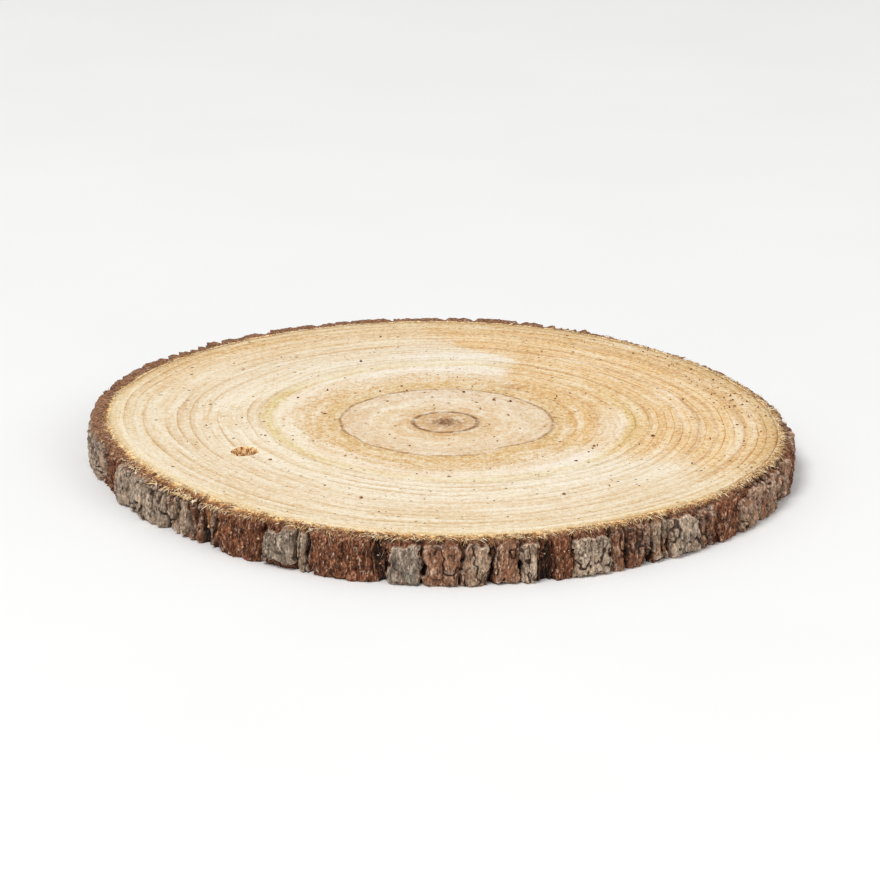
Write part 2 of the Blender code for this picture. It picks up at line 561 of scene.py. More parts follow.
def bark_wall(angle, height):
    """The bark wall at a direction and height: relief in mm and the values its finish reads.

    The last number in each call of a noise is its seed.

    Each plate is a rounded box on the wall whose edge is shaken by noise. Its height
    rises in two flaky steps. Under and between plates lies rough, fibrous bark, with a
    bell-shaped groove along each gap, and the sawn upper edge leans in and crumbles.
    """

    def soft(wide, tall, seed):
        """Soft noise at these places of the wall."""
        return bark_cloud(angle, height, wide, tall, seed)

    def flaky(wide, tall, seed):
        """Three sizes of noise at these places of the wall."""
        return rough(angle, height, wide, tall, seed)

    broken = crumbled(angle)
    along = (np.degrees(angle) - BARK_START) % 360.0 * ROUND_LENGTH / 360.0
    shake = soft(3.4, 3.0, 101) * 0.65
    shake = shake + soft(1.3, 1.2, 102) * 0.28
    calm = step(0.0, 1.5, along) * step(ROUND_LENGTH, ROUND_LENGTH - 1.5, along)
    place = along + shake * calm
    number = np.searchsorted(PLATES["start"] - 0.2, place, side="right") - 1
    number = np.clip(number, 0, len(PLATES["start"]) - 1)
    mine = {name: values[number] for name, values in PLATES.items()}
    half = (mine["end"] - mine["start"]) / 2.0
    middle = (mine["end"] + mine["start"]) / 2.0
    upper = TOP - mine["short"] * broken + 0.5 * (1.0 - broken)
    lower = mine["foot"]
    corner = np.minimum(mine["corner"], half * 0.85)
    level = height + soft(2.4, 2.4, 103) * 0.45
    sideways = np.abs(place - middle) - (half - corner)
    upways = np.abs(level - (upper + lower) / 2.0) - ((upper - lower) / 2.0 - corner)
    out = np.hypot(np.maximum(sideways, 0.0), np.maximum(upways, 0.0))
    out = out + np.minimum(np.maximum(sideways, upways), 0.0) - corner
    out = out + flaky(1.3, 1.2, 104) * 0.85
    out = out + soft(4.2, 3.4, 109) * 0.50

    flat = 1.0 - step(-0.22, 0.06, out)
    inside = 1.0 - step(-0.95, -0.70, out + flaky(2.2, 2.4, 107) * 0.85)
    plate = mine["proud"] * (0.62 * flat + 0.32 * inside)
    grain = flaky(0.8, 2.2, 111) * 0.26 + flaky(3.0, 4.5, 114) * 0.40
    grain = grain + soft(0.42, 0.55, 113) * 0.08
    split = np.abs(soft(2.0, 5.5, 117) + 0.30 * soft(0.8, 0.9, 118))
    split = (1.0 - step(0.04, 0.17, split)) * step(0.25, 0.4, mine["crack"])
    furrow = np.abs(
        soft(1.45, 6.0, 161)
        + 0.42 * soft(1.1, 1.5, 162)
        + 0.15 * soft(0.4, 0.6, 163)
    )
    furrow = (1.0 - step(0.02, 0.15, furrow)) * (0.35 + 0.65 * mine["crack"])
    furrow = furrow * (0.25 + 0.75 * step(-0.25, 0.25, soft(3.5, 4.5, 164)))
    crack = flat * np.maximum(split, furrow)
    plate = plate + flat * grain - 0.60 * crack

    threads = flaky(0.62, 2.4, 121) * 0.44
    crumbs = flaky(1.1, 1.1, 124) * 0.62 + soft(0.40, 0.46, 123) * 0.15
    floor = threads + crumbs - 0.15
    bare = mine["proud"] * (1.0 - mine["cover"]) * (1.0 - step(-0.9, 0.1, sideways - corner))
    bound = PLATES["end"][:-1] / 2.0 + PLATES["start"][1:] / 2.0
    bound = np.concatenate([[-0.2], bound, [ROUND_LENGTH + 0.2]])
    depth = np.concatenate([[0.8], PLATES["deep"]])
    groove = depth[number] * bell(place, bound[number], 0.50)
    groove = groove + depth[number + 1] * bell(place, bound[number + 1], 0.50)
    groove = 1.35 * groove * (0.75 + 0.5 * soft(4.0, 3.0, 127))
    bend = 0.5 * soft(5.0, 3.2, 166)
    sliver = 0.0
    for where, wide in DEEP_GAPS:
        sliver = np.maximum(sliver, bell(along + bend, (where - BARK_START) * PER_DEGREE, wide))
    groove = groove + 3.6 * sliver
    cover = mine["cover"] * (1.0 - step(-0.16, 0.02, out)) * (1.0 - step(0.45, 0.85, sliver))
    relief = floor * (1.0 - 0.9 * mine["cover"] * flat) + bare * 0.8
    relief = relief + plate * mine["cover"] - groove
    gap = mine["proud"] < 0.0
    sunk = 0.5 * floor - 1.05 * (1.0 - step(-0.5, 0.2, sideways - corner))
    relief = np.where(gap, sunk, np.maximum(relief, -1.35))

    upper_edge = step(TOP - 1.55, TOP - 0.15, height + 0.35 * flaky(1.5, 1.5, 131))
    upper_edge = upper_edge * (0.25 + 0.75 * broken)
    lower_edge = 1.0 - step(0.0, 0.55, height)
    lean = 1.15 * upper_edge * broken + 0.35 * lower_edge
    relief = relief * (1.0 - 0.35 * upper_edge) - lean
    cover = cover * (1.0 - 0.9 * upper_edge)
    rim = mine["cover"] * bell(out, -0.16, 0.12) * (1.0 - upper_edge)
    return relief, {
        "plate": cover,
        "plate_hue": np.clip(mine["hue"] + 0.08 * soft(3.0, 3.0, 134), 0.0, 1.0),
        # where the finish paints a highlight along the plates' rims
        "rim_highlight": rim,
        # where the finish paints shade into the plates' cracks
        "crack": crack * cover,
        # where the finish paints shade, the darker the lower the relief
        "relief": relief,
    }


def bark_points(angle, rows_top, rows_wall, rows_foot):
    """The bark's closed profile at each direction, as rows of points, with its finish values.

    It starts under the inner bark, slopes out and down over the crumbled sawn edge, runs
    down the wall, back in along the foot and up behind.
    """
    depth = wood_edge(angle) + bark_depth(angle)
    start = wood_edge(angle) + 0.75
    broken = crumbled(angle)
    brow = TOP - 0.14 - broken * (0.42 - 0.35 * rough(angle, 0.0, 2.2, 1.0, 141))
    rows = []
    relief, values = bark_wall(angle, brow)
    rim = depth + relief
    for share in np.linspace(0.0, 1.0, rows_top, endpoint=False):
        spot = start + (rim - start) * share
        bump = rough(angle, 8.0 + share * 3.0, 0.9, 0.9, 144) * 0.36
        drop = (TOP - 0.12 - 0.23 * broken) * (1.0 - share) + brow * share
        shape = math.sin(math.pi * min(1.0, share * 1.02 + 0.04))
        height = np.minimum(drop + bump * shape * (0.35 + 0.65 * broken), TOP - 0.06)
        rows.append((spot, height, dict(values, plate=values["plate"] * share)))
    for share in np.linspace(0.0, 1.0, rows_wall):
        height = brow * (1.0 - share)
        relief, values = bark_wall(angle, height)
        rows.append((depth + relief, height, values))
    low_rim = rows[-1][0]
    hidden = dict(values, plate=np.zeros_like(angle))
    for share in np.linspace(0.0, 1.0, rows_foot + 1)[1:]:
        lift = np.abs(rough(angle, share * 3.0, 1.0, 1.0, 147)) * 0.25 * (1.0 - share)
        rows.append((low_rim + (start - low_rim) * share, lift, hidden))
    rows.append((start, np.full_like(angle, MIDDLE), hidden))
    return rows


def strip_map(row, column, per_strip, strips, line):
    """Bake map of a long band, cut into strips that lie one above another.

    The way along the band runs across a strip, and line gives each row's place up it.
    """
    strip = np.floor(column / per_strip)
    left = column / per_strip - strip
    right = left + 1.0 / per_strip

    def spot(side, level):
        """Place of one corner, with a narrow margin round each strip."""
        up = (strip + 0.01) / strips + line[level] / strips
        return np.stack([0.005 + 0.99 * side, up], axis=-1)

    corners = (spot(left, row), spot(left, row + 1), spot(right, row + 1), spot(right, row))
    return np.stack(corners, axis=1)


def make_bark(name, begin, end, finish):
    """Half of the bark ring as a closed solid, with a flat cap at each end inside a gap."""
    columns, rows_top, rows_wall, rows_foot = BARK_GRID
    angle = np.radians(np.linspace(begin, end, columns))
    rows = bark_points(angle, rows_top, rows_wall, rows_foot)
    reach = np.stack([row[0] for row in rows])
    height = np.stack([row[1] for row in rows])
    count = len(rows)
    points = from_pith(reach, angle[None], height).reshape(-1, 3)
    quads, row, column = quads_between(count + 1, columns, False)
    quads = quads[:, ::-1] % len(points)
    caps = np.stack([np.arange(count) * columns, np.arange(count) * columns + columns - 1])
    caps[1] = caps[1][::-1]

    line = np.hypot(np.diff(reach, axis=0), np.diff(height, axis=0)).mean(axis=1)
    line = np.concatenate([[0.0], np.cumsum(line), [0.0]])
    line[-1] = line[-2] + 1.5
    line[-2] = line[-3] + 1.5
    line = 0.96 * 0.98 * line / line[-1]
    strips = 4
    map_of_quads = strip_map(row, column, (columns - 1) / strips, strips, line)[:, ::-1]
    turn = np.linspace(0.0, 2.0 * math.pi, count, endpoint=False)
    map_of_caps = np.full((2, count, 2), 0.9975)
    map_of_caps[..., 0] += 0.0015 * np.cos(turn)
    map_of_caps[..., 1] += np.array([[0.0], [-0.006]]) + 0.0015 * np.sin(turn)
    values = {key: np.concatenate([row[2][key] for row in rows]) for key in rows[0][2]}
    return make_piece(name, points, [quads, caps], [map_of_quads, map_of_caps], finish, values)


def make_inner_bark(finish):
    """The golden, torn inner bark: a closed ring between the wood and the bark.

    Its profile slopes out from just under the wood's edge. The slope is shaken by fine
    noise drawn out sideways, so that it reads as matted fibre.
    """
    columns, rows = INNER_BARK_GRID
    angle = np.linspace(-math.pi, math.pi, columns, endpoint=False)
    share = np.linspace(0.0, 1.0, rows)[:, None]
    wide = 1.30 + 0.95 * ragged_side(angle) + 0.30 * bark_cloud(angle, 0.0, 11.0, 1.0, 151)
    wide = wide + 0.25 * bark_cloud(angle, 0.0, 2.3, 1.0, 152) - 0.35 * bell(angle, -0.1, 1.0)
    inner = wood_edge(angle) - 0.06
    reach = inner + share * wide
    matted = rough(angle + share * 0.01, share * 5.0, 0.8, 1.1, 154)
    tufts = bark_cloud(angle, share * 3.0, 2.2, 1.4, 157)
    fluff = (0.22 * matted + 0.16 * tufts) * np.sin(math.pi * share)
    height = np.minimum(TOP - 0.05 - 0.42 * share**1.4 + fluff, TOP + 0.02)
    height[0] = TOP - 0.10
    foot = np.abs(bark_cloud(angle, 0.0, 1.5, 1.0, 158)) * 0.12 + 0.02
    reach = np.concatenate([reach, [inner + 0.95, inner]])
    height = np.concatenate([height, [foot, foot]])
    points = from_pith(reach, angle[None], height).reshape(-1, 3)
    quads, row, column = quads_between(rows + 3, columns, True)
    line = 0.98 * np.concatenate([np.linspace(0.0, 0.70, rows), [0.78, 0.92, 0.98]])
    strips = 12
    maps = [strip_map(row, column, columns / strips, strips, line)]
    outward = np.concatenate([np.broadcast_to(share, (rows, columns)).ravel(), np.ones(2 * columns)])
    faces = [quads % len(points)]
    values = {"outward": outward}
    return make_piece("inner_bark", points, faces, maps, finish, values)


# ---------------------------------------------------------------- torn fibres and crumbs


def unit(vectors):
    """Vectors of length one."""
    return vectors / np.linalg.norm(vectors, axis=-1, keepdims=True)


def make_many(name, points, shapes, shade, finish):
    """Puts many small like things into the scene as one mesh.

    points is (things, corners of one, 3). Each of the shapes is a list of faces of one
    thing, and where their corners lie in that thing's own square cell of the bake map.
    """
    count, each = points.shape[:2]
    cells = math.ceil(math.sqrt(count))
    number = np.arange(count)
    cell = np.stack([number % cells, number // cells], axis=1)[:, None, None]
    first = number[:, None, None] * each
    faces = [(np.array(faces) + first).reshape(-1, len(faces[0])) for faces, _ in shapes]
    maps = [
        ((cell + 0.1 + 0.8 * np.array(spots)) / cells).reshape(-1, len(spots[0]), 2)
        for _, spots in shapes
    ]
    shades = {"shade": np.repeat(shade, each)}
    return make_piece(name, points.reshape(-1, 3), faces, maps, finish, shades, False)


def strand_shapes():
    """Faces of one fibre with their map: two levels of three sides, a tip and a butt."""
    quads, quad_map = [], []
    for level, i in ((level, i) for level in range(2) for i in range(3)):
        low, beside = level * 3, (i + 1) % 3
        quads.append([low + i, low + beside, low + 3 + beside, low + 3 + i])
        left, right, under, over = i / 3, (i + 1) / 3, level / 3, (level + 1) / 3
        quad_map.append([[left, under], [right, under], [right, over], [left, over]])
    tips = [[6 + i, 6 + (i + 1) % 3, 9] for i in range(3)]
    tip_map = [[[i / 3, 2 / 3], [(i + 1) / 3, 2 / 3], [(i + 0.5) / 3, 0.96]] for i in range(3)]
    butt_map = [[[0.02, 0.99], [0.05, 0.99], [0.02, 0.975]]]
    return ((quads, quad_map), (tips, tip_map), ([[2, 1, 0]], butt_map))


def make_strands(name, root, heading, sag, length, thick, shade, finish):
    """Many thin fibres: a triangle carried along a bent line, narrowing to a point.

    The middle of each fibre at a share t of its length is root + heading t + sag t squared.
    """
    t = np.array([0.0, 0.35, 0.7, 1.0])[None, :, None]
    reach = length[:, None, None]
    middle = root[:, None] + heading[:, None] * (reach * t) + sag[:, None] * (reach * t**2)
    forward = unit(heading)
    helper = np.where(np.abs(forward[:, 2:3]) > 0.8, [[1.0, 0.0, 0.0]], [[0.0, 0.0, 1.0]])
    side = unit(np.cross(forward, helper))
    over = np.cross(forward, side)
    turn = (np.array([0.0, 2.0, 4.0]) * math.pi / 3.0)[None, :, None]
    ring = side[:, None] * np.cos(turn) + over[:, None] * np.sin(turn)
    size = thick[:, None] * np.array([1.0, 0.85, 0.55])[None]
    body = middle[:, :3, None] + ring[:, None] * size[:, :, None, None]
    points = np.concatenate([body.reshape(len(root), 9, 3), middle[:, 3:4]], axis=1)
    return make_many(name, points, strand_shapes(), shade, finish)


UP = np.array([0.0, 0.0, 1.0])


def outward_at(angle):
    """Directions straight out from the pith, and along the edge."""
    out = np.stack([np.cos(angle), np.sin(angle), 0.0 * angle], axis=1)
    along = np.stack([-np.sin(angle), np.cos(angle), 0.0 * angle], axis=1)
    return out, along


def make_edge_fibres(finish):
    """Golden fibres torn by the saw, matted along the inner bark and over the bark's brow."""
    dice = np.random.default_rng(71)
    angle = dice.uniform(-math.pi, math.pi, EDGE_FIBRES)
    angle = angle[bark_cloud(angle, 0.0, 6.0, 1.0, 72) > dice.uniform(-1.6, 1.0, EDGE_FIBRES)]
    count = len(angle)
    out, along = outward_at(angle)
    torn = ragged_side(angle)
    spot = dice.uniform(0.10, 1.65, count) * (1.0 + 0.65 * torn)
    spot = spot * (1.0 - 0.50 * bell(angle, -0.1, 1.0))
    height = TOP - 0.12 - 0.38 * spot**1.2 * 0.6 + dice.uniform(-0.05, 0.05, count)
    root = from_pith(wood_edge(angle) + spot, angle, height)
    lean = dice.normal(0.0, 1.1, count)[:, None]
    heading = unit(out * dice.uniform(0.2, 1.0, count)[:, None] + along * lean)
    heading = heading + UP * dice.uniform(-0.15, 0.30, count)[:, None]
    sag = -UP * dice.uniform(0.1, 0.6, count)[:, None]
    length = dice.gamma(4.0, 0.25, count).clip(0.35, 2.4)
    thick = dice.uniform(0.050, 0.125, count) * (1.0 + 0.45 * torn)
    shade = np.minimum(dice.uniform(0.0, 1.0, count) + 0.15 * torn, 1.0)
    return make_strands("edge_fibres", root, heading, sag, length, thick, shade, finish)


def make_pit_fibres(finish):
    """Broken fibre ends standing in the torn pit, densest at its far side."""
    dice = np.random.default_rng(75)
    count = PIT_FIBRES
    turn = dice.uniform(0.0, 2.0 * math.pi, count)
    out = dice.uniform(0.25, 0.92, count) ** 0.7
    x = PIT_AT[0] + PIT_HALF[0] * out * np.cos(turn)
    y = PIT_AT[1] + PIT_HALF[1] * out * np.sin(turn)
    fall, _ = pit_fall(x, y)
    root = np.stack([PITH[0] + x, PITH[1] + y, TOP - fall - 0.08], axis=1)
    heading = UP + outward_at(turn)[0] * dice.uniform(-0.15, 0.35, count)[:, None]
    heading = unit(heading + dice.normal(0.0, 0.12, (count, 3)))
    length = np.clip(fall * dice.uniform(0.45, 1.05, count), 0.12, PIT_DEPTH - 0.02)
    thick = dice.uniform(0.10, 0.24, count)
    shade = dice.uniform(0.0, 1.0, count)
    straight = 0.0 * heading
    return make_strands("pit_fibres", root, heading, straight, length, thick, shade, finish)


def make_bark_fibres(finish):
    """Short red-brown fibres standing on the bare bark between the plates."""
    dice = np.random.default_rng(81)
    angle = dice.uniform(-math.pi, math.pi, BARK_FIBRES)
    height = dice.uniform(0.3, TOP - 0.5, BARK_FIBRES)
    relief, values = bark_wall(angle, height)
    keep = values["plate"] < 0.25
    angle, height, relief = angle[keep], height[keep], relief[keep]
    count = len(angle)
    out, along = outward_at(angle)
    root = from_pith(wood_edge(angle) + bark_depth(angle) + relief - 0.05, angle, height)
    heading = UP * dice.choice([-1.0, 1.0], count)[:, None]
    heading = heading + out * dice.uniform(0.05, 0.5, count)[:, None]
    heading = unit(heading + along * dice.normal(0.0, 0.35, count)[:, None])
    room = np.where(heading[:, 2] > 0.0, TOP - 0.3 - height, height - 0.1)
    length = np.minimum(dice.gamma(3.0, 0.30, count).clip(0.25, 2.4), np.maximum(room, 0.15))
    sag = out * dice.uniform(-0.2, 0.15, count)[:, None]
    thick = dice.uniform(0.030, 0.085, count)
    shade = dice.uniform(0.0, 1.0, count) ** 1.5
    return make_strands("bark_fibres", root, heading, sag, length, thick, shade, finish)


def make_lumps(name, middle, size, shade, dice, finish):
    """Many small broken lumps round given middles.

    Each is a six-sided ball of two rings and two poles, with every point pushed in or
    out at random, then stretched.
    """
    count = len(middle)
    turn = (np.arange(6) * math.pi / 3.0)[None]
    tilt = np.array([-0.5, 0.5])[:, None]
    ball = (np.cos(turn) * np.cos(tilt), np.sin(turn) * np.cos(tilt), np.sin(tilt) + 0.0 * turn)
    poles = [[0.0, 0.0, -1.0], [0.0, 0.0, 1.0]]
    ball = np.concatenate([np.stack(ball, axis=-1).reshape(12, 3), poles])
    push = dice.uniform(0.6, 1.25, (count, 14, 1))
    stretch = dice.uniform(0.55, 1.4, (count, 1, 3))
    points = middle[:, None] + ball[None] * push * stretch * size[:, None, None]
    points[..., 2] = points[..., 2].clip(0.05, None)
    quads, lower, upper, quad_map, lower_map, upper_map = [], [], [], [], [], []
    for i in range(6):
        j = (i + 1) % 6
        left, right, half = i / 6, (i + 1) / 6, (i + 0.5) / 6
        quads.append([i, j, 6 + j, 6 + i])
        lower.append([12, j, i])
        upper.append([13, 6 + i, 6 + j])
        quad_map.append([[left, 0.3], [right, 0.3], [right, 0.7], [left, 0.7]])
        lower_map.append([[half, 0.0], [right, 0.3], [left, 0.3]])
        upper_map.append([[half, 1.0], [left, 0.7], [right, 0.7]])
    shapes = ((quads, quad_map), (lower, lower_map), (upper, upper_map))
    return make_many(name, points, shapes, shade, finish)


def make_crumbs(finish):
    """Small broken bits of bark on the crumbled brow and in the gaps, palest at the left front."""
    dice = np.random.default_rng(91)
    count = CRUMBS
    angle = dice.uniform(-math.pi, math.pi, count)
    on_brow = dice.random(count) < 0.62
    spot = dice.uniform(0.0, 1.0, count)
    height = np.where(on_brow, TOP - 0.45 - 0.5 * spot, dice.uniform(0.5, TOP - 0.8, count))
    relief, values = bark_wall(angle, height)
    keep = on_brow | (values["plate"] < 0.2)
    angle, on_brow, spot, height, relief = (
        kept[keep] for kept in (angle, on_brow, spot, height, relief)
    )
    wall = wood_edge(angle) + bark_depth(angle) + relief
    brow = wood_edge(angle) + 1.0 + spot * (wall - wood_edge(angle) - 1.1)
    middle = from_pith(np.where(on_brow, brow, wall), angle, height)
    size = dice.gamma(4.0, 0.045, len(angle)).clip(0.09, 0.42) * (1.0 + 0.3 * ragged_side(angle))
    shade = dice.uniform(0.0, 0.88, len(angle))
    shade[on_brow & (toward(angle, -152.0, 0.17) * spot > 0.50)] = 1.0
    return make_lumps("bark_crumbs", middle, size, shade, dice, finish)


def make_dust(finish):
    """Dark bark dust lying on the upper sawn face, thickest at the right-hand edge and the pith."""
    dice = np.random.default_rng(97)
    growth = (
        WOOD_RADIUS * np.sqrt(dice.uniform(0.01, 0.97, DUST_OVER_ALL)),
        dice.uniform(8.0, 33.0, DUST_BY_PITH),
        dice.triangular(52.0, 63.5, 64.2, DUST_BY_EDGE),
    )
    angle = (
        dice.uniform(-math.pi, math.pi, DUST_OVER_ALL),
        dice.normal(0.7, 1.2, DUST_BY_PITH),
        dice.normal(math.radians(24.0), 0.34, DUST_BY_EDGE),
    )
    growth, angle = np.concatenate(growth), np.concatenate(angle)
    reach = ring_reach(growth, angle)
    size = dice.gamma(3.2, 0.058, len(growth)).clip(0.09, 0.32)
    size = np.where(growth > 51.0, size * 0.8, size)
    middle = from_pith(reach, angle, TOP + size * 0.10)
    fall, _ = pit_fall(reach * np.cos(angle), reach * np.sin(angle))
    keep = np.abs(fall) < 0.02
    shade = dice.uniform(0.10, 0.60, len(growth))
    return make_lumps("bark_dust", middle[keep], size[keep], shade[keep], dice, finish)


# ---------------------------------------------------------------- finishes


def rgba(value):
    """A colour given as three numbers gets its alpha; anything else stays as it is."""
    return (*value, 1.0) if isinstance(value, tuple) else value


class Wire:
    """A value in a node tree. A sum, difference, product or quotient of it adds a maths node."""

    def __init__(self, bench, socket):
        """Remembers the node output that gives the value, and its bench."""
        self.bench = bench
        self.socket = socket


def sign_of(operation, turned_round):
    """The method of Wire for one sign. Turned round, the wire stands behind the sign."""

    def method(wire, other):
        """The value of the two with the sign between them."""
        pair = (other, wire) if turned_round else (wire, other)
        return wire.bench.together(operation, *pair)

    return method


# The four signs, each with the wire before it and behind it
SIGNS = {"add": "ADD", "sub": "SUBTRACT", "mul": "MULTIPLY", "truediv": "DIVIDE"}
for sign, operation in SIGNS.items():
    setattr(Wire, f"__{sign}__", sign_of(operation, False))
    setattr(Wire, f"__r{sign}__", sign_of(operation, True))


class Bench:
    """Adds nodes to one node tree and joins them up."""

    def __init__(self, tree):
        """Works on the given node tree."""
        self.tree = tree

    def join(self, value, target):
        """Links a wire to a node's input, or sets the input to a number."""
        if isinstance(value, Wire):
            self.tree.links.new(value.socket, target)
        else:
            target.default_value = value

    def node(self, kind, inputs=None, **settings):
        """A node with its settings, and inputs that are numbers or wires."""
        made = self.tree.nodes.new(kind)
        for key, value in settings.items():
            setattr(made, key, value)
        for key, value in (inputs or {}).items():
            self.join(value, made.inputs[key])
        return made

    def put(self, kind, inputs=None, output=0, **settings):
        """A node of a kind, such as Math for ShaderNodeMath. Returns one output of it."""
        return Wire(self, self.node("ShaderNode" + kind, inputs, **settings).outputs[output])

    def together(self, operation, first, second):
        """Two values joined by a sign, as vectors where either of them is one."""
        vectors = any(
            value.socket.type == "VECTOR" if isinstance(value, Wire) else isinstance(value, tuple)
            for value in (first, second)
        )
        kind = "VectorMath" if vectors else "Math"
        return self.put(kind, {0: first, 1: second}, operation=operation)

    def maths(self, operation, first, second=0.0):
        """A maths node for anything that has no sign."""
        return self.put("Math", {0: first, 1: second}, operation=operation)

    def mix(self, share, first, second, how="MIX"):
        """One colour mixed into another by a share."""
        inputs = {0: share, 6: rgba(first), 7: rgba(second)}
        return self.put("Mix", inputs, 2, data_type="RGBA", blend_type=how)

    def stain(self, share, colour, tint):
        """A colour multiplied by a tint, by a share."""
        return self.mix(share, colour, tint, "MULTIPLY")

    def rise(self, value, low, high, to_low=0.0, to_high=1.0):
        """Smooth rise of a value from low to high."""
        inputs = {0: value, 1: low, 2: high, 3: to_low, 4: to_high}
        return self.put("MapRange", inputs, interpolation_type="SMOOTHSTEP")

    def noise(self, place, size, detail=2.0, rough=0.5):
        """Noise with lumps of a size in millimetres."""
        inputs = {"Vector": place, "Scale": 1.0 / (size * MM), "Detail": detail, "Roughness": rough}
        return self.put("TexNoise", inputs, "Fac")

    def plain_noise(self, place, detail):
        """Noise with lumps of size one, at a place with its own scale."""
        return self.put("TexNoise", {"Vector": place, "Scale": 1.0, "Detail": detail}, "Fac")

    def cells(self, place, size):
        """Flat random cells of a size in millimetres: distance to the middle, and colour."""
        inputs = {"Vector": place, "Scale": 1.0 / (size * MM)}
        made = self.node("ShaderNodeTexVoronoi", inputs, voronoi_dimensions="2D")
        return Wire(self, made.outputs["Distance"]), Wire(self, made.outputs["Color"])

    def turned(self, place, turn, squeeze):
        """A place turned about the upright axis and squeezed along its second one."""
        inputs = {"Vector": place, "Rotation": (0.0, 0.0, turn), "Scale": (1.0, squeeze, 1.0)}
        return self.put("Mapping", inputs)

    def ramp(self, value, stops):
        """Colours by value, from (value, colour) pairs."""
        made = self.node("ShaderNodeValToRGB", {0: value})
        points = made.color_ramp.elements
        points[0].position, points[0].color = stops[0][0], rgba(stops[0][1])
        points[1].position, points[1].color = stops[-1][0], rgba(stops[-1][1])
        for where, colour in stops[1:-1]:
            points.new(where).color = rgba(colour)
        return Wire(self, made.outputs["Color"])

    def named(self, attribute):
        """A number stored on the mesh."""
        return self.put("Attribute", None, "Fac", attribute_name=attribute)

    def place(self):
        """Where a point lies on its object, in metres."""
        return self.put("TexCoord", None, "Object")

    def part_of(self, vector, index):
        """One number of a place."""
        return self.put("SeparateXYZ", {0: vector}, index)

    def lifted(self, value):
        """The place (0, 0, value)."""
        return self.put("CombineXYZ", {2: value})

    def length(self, vector):
        """Length of a vector."""
        return self.put("VectorMath", {0: vector}, "Value", operation="LENGTH")

    def grey(self, value):
        """The grey colour of a value."""
        return self.put("CombineColor", {0: value, 1: value, 2: value})


def new_group(name, inputs, outputs):
    """An empty shader group with named number inputs and outputs.

    Returns it with its bench, its inputs as wires by name, and its output sockets.
    """
    group = bpy.data.node_groups.new(name, "ShaderNodeTree")
    for label, kind, value in inputs:
        made = group.interface.new_socket(label, in_out="INPUT", socket_type=kind)
        made.default_value = value
    for label, kind in outputs:
        group.interface.new_socket(label, in_out="OUTPUT", socket_type=kind)
    bench = Bench(group)
    ends = bench.node("NodeGroupInput").outputs
    given = {label: Wire(bench, ends[label]) for label, _, _ in inputs}
    return group, bench, given, bench.node("NodeGroupOutput").inputs


NUMBER, COLOUR = "NodeSocketFloat", "NodeSocketColor"


def grit_group():
    """Fine light and dark speckle, for every fibrous or crumbled surface.

    Two sizes of noise are added. Tone is centred on 1, Height on 0.
    """
    group, bench, given, result = new_group(
        "grit",
        [("Size", NUMBER, 1.0), ("Contrast", NUMBER, 0.5), ("Upright", NUMBER, 1.0)],
        [("Tone", NUMBER), ("Height", NUMBER)],
    )
    place = bench.place()
    drawn = bench.put("CombineXYZ", {0: 1.0, 1: 1.0, 2: given["Upright"]})
    place = place * drawn
    sized = bench.put("VectorMath", {0: place, "Scale": 1.0 / given["Size"]}, operation="SCALE")
    fine = bench.noise(sized, 0.22, 2.0, 0.6)
    coarse = bench.noise(sized, 0.75, 2.0, 0.55)
    centred = fine * 0.62 + coarse * 0.38 - 0.5
    tone = centred * given["Contrast"] * 4.0 + 1.0
    bench.join(bench.maths("MAXIMUM", tone, 0.15), result["Tone"])
    bench.join(centred, result["Height"])
    return group


WOOD_BY_GROWTH = (
    (0.0, (0.33, 0.175, 0.07)),
    (1.1, (0.45, 0.27, 0.13)),
    (2.3, (0.62, 0.39, 0.205)),
    (4.2, (0.68, 0.45, 0.25)),
    (5.72, (0.74, 0.51, 0.29)),
    (6.05, (0.27, 0.12, 0.045)),
    (6.45, (0.29, 0.135, 0.05)),
    (6.90, (0.76, 0.53, 0.30)),
    (9.0, (0.80, 0.60, 0.37)),
    (12.5, (0.875, 0.70, 0.49)),
    (16.0, (0.83, 0.65, 0.45)),
    (20.2, (0.83, 0.65, 0.45)),
    (20.45, (0.42, 0.225, 0.105)),
    (20.7, (0.44, 0.235, 0.10)),
    (21.0, (0.80, 0.59, 0.315)),
    (24.0, (0.815, 0.59, 0.315)),
    (27.0, (0.845, 0.635, 0.39)),
    (29.8, (0.875, 0.71, 0.50)),
    (32.5, (0.94, 0.805, 0.64)),
    (34.3, (0.91, 0.775, 0.57)),
    (35.5, (0.88, 0.73, 0.46)),
    (37.5, (0.905, 0.775, 0.57)),
    (38.2, (0.78, 0.63, 0.41)),
    (38.5, (0.93, 0.81, 0.63)),
    (41.0, (0.93, 0.82, 0.64)),
    (50.0, (0.885, 0.745, 0.555)),
    (58.0, (0.885, 0.745, 0.54)),
    (60.7, (0.87, 0.73, 0.53)),
    (62.8, (0.925, 0.80, 0.59)),
    (64.6, (0.82, 0.64, 0.38)),
)


GOLDEN_BY_GROWTH = (
    (20.0, (0.85, 0.62, 0.34)),
    (25.0, (0.83, 0.585, 0.30)),
    (32.0, (0.83, 0.60, 0.335)),
    (37.5, (0.84, 0.61, 0.33)),
    (38.2, (0.70, 0.46, 0.23)),
    (38.6, (0.86, 0.62, 0.34)),
    (43.5, (0.86, 0.62, 0.345)),
    (45.4, (0.80, 0.56, 0.32)),
    (45.9, (0.91, 0.69, 0.42)),
    (47.6, (0.88, 0.65, 0.385)),
    (49.1, (0.69, 0.44, 0.23)),
    (49.6, (0.90, 0.68, 0.41)),
    (51.5, (0.88, 0.65, 0.375)),
    (52.7, (0.73, 0.49, 0.27)),
    (53.1, (0.91, 0.69, 0.41)),
    (56.2, (0.87, 0.64, 0.37)),
    (57.9, (0.68, 0.45, 0.235)),
    (58.3, (0.88, 0.66, 0.39)),
    (60.5, (0.75, 0.53, 0.29)),
    (60.9, (0.86, 0.64, 0.37)),
    (62.3, (0.70, 0.50, 0.27)),
    (62.8, (0.80, 0.59, 0.33)),
    (64.6, (0.62, 0.43, 0.22)),
)


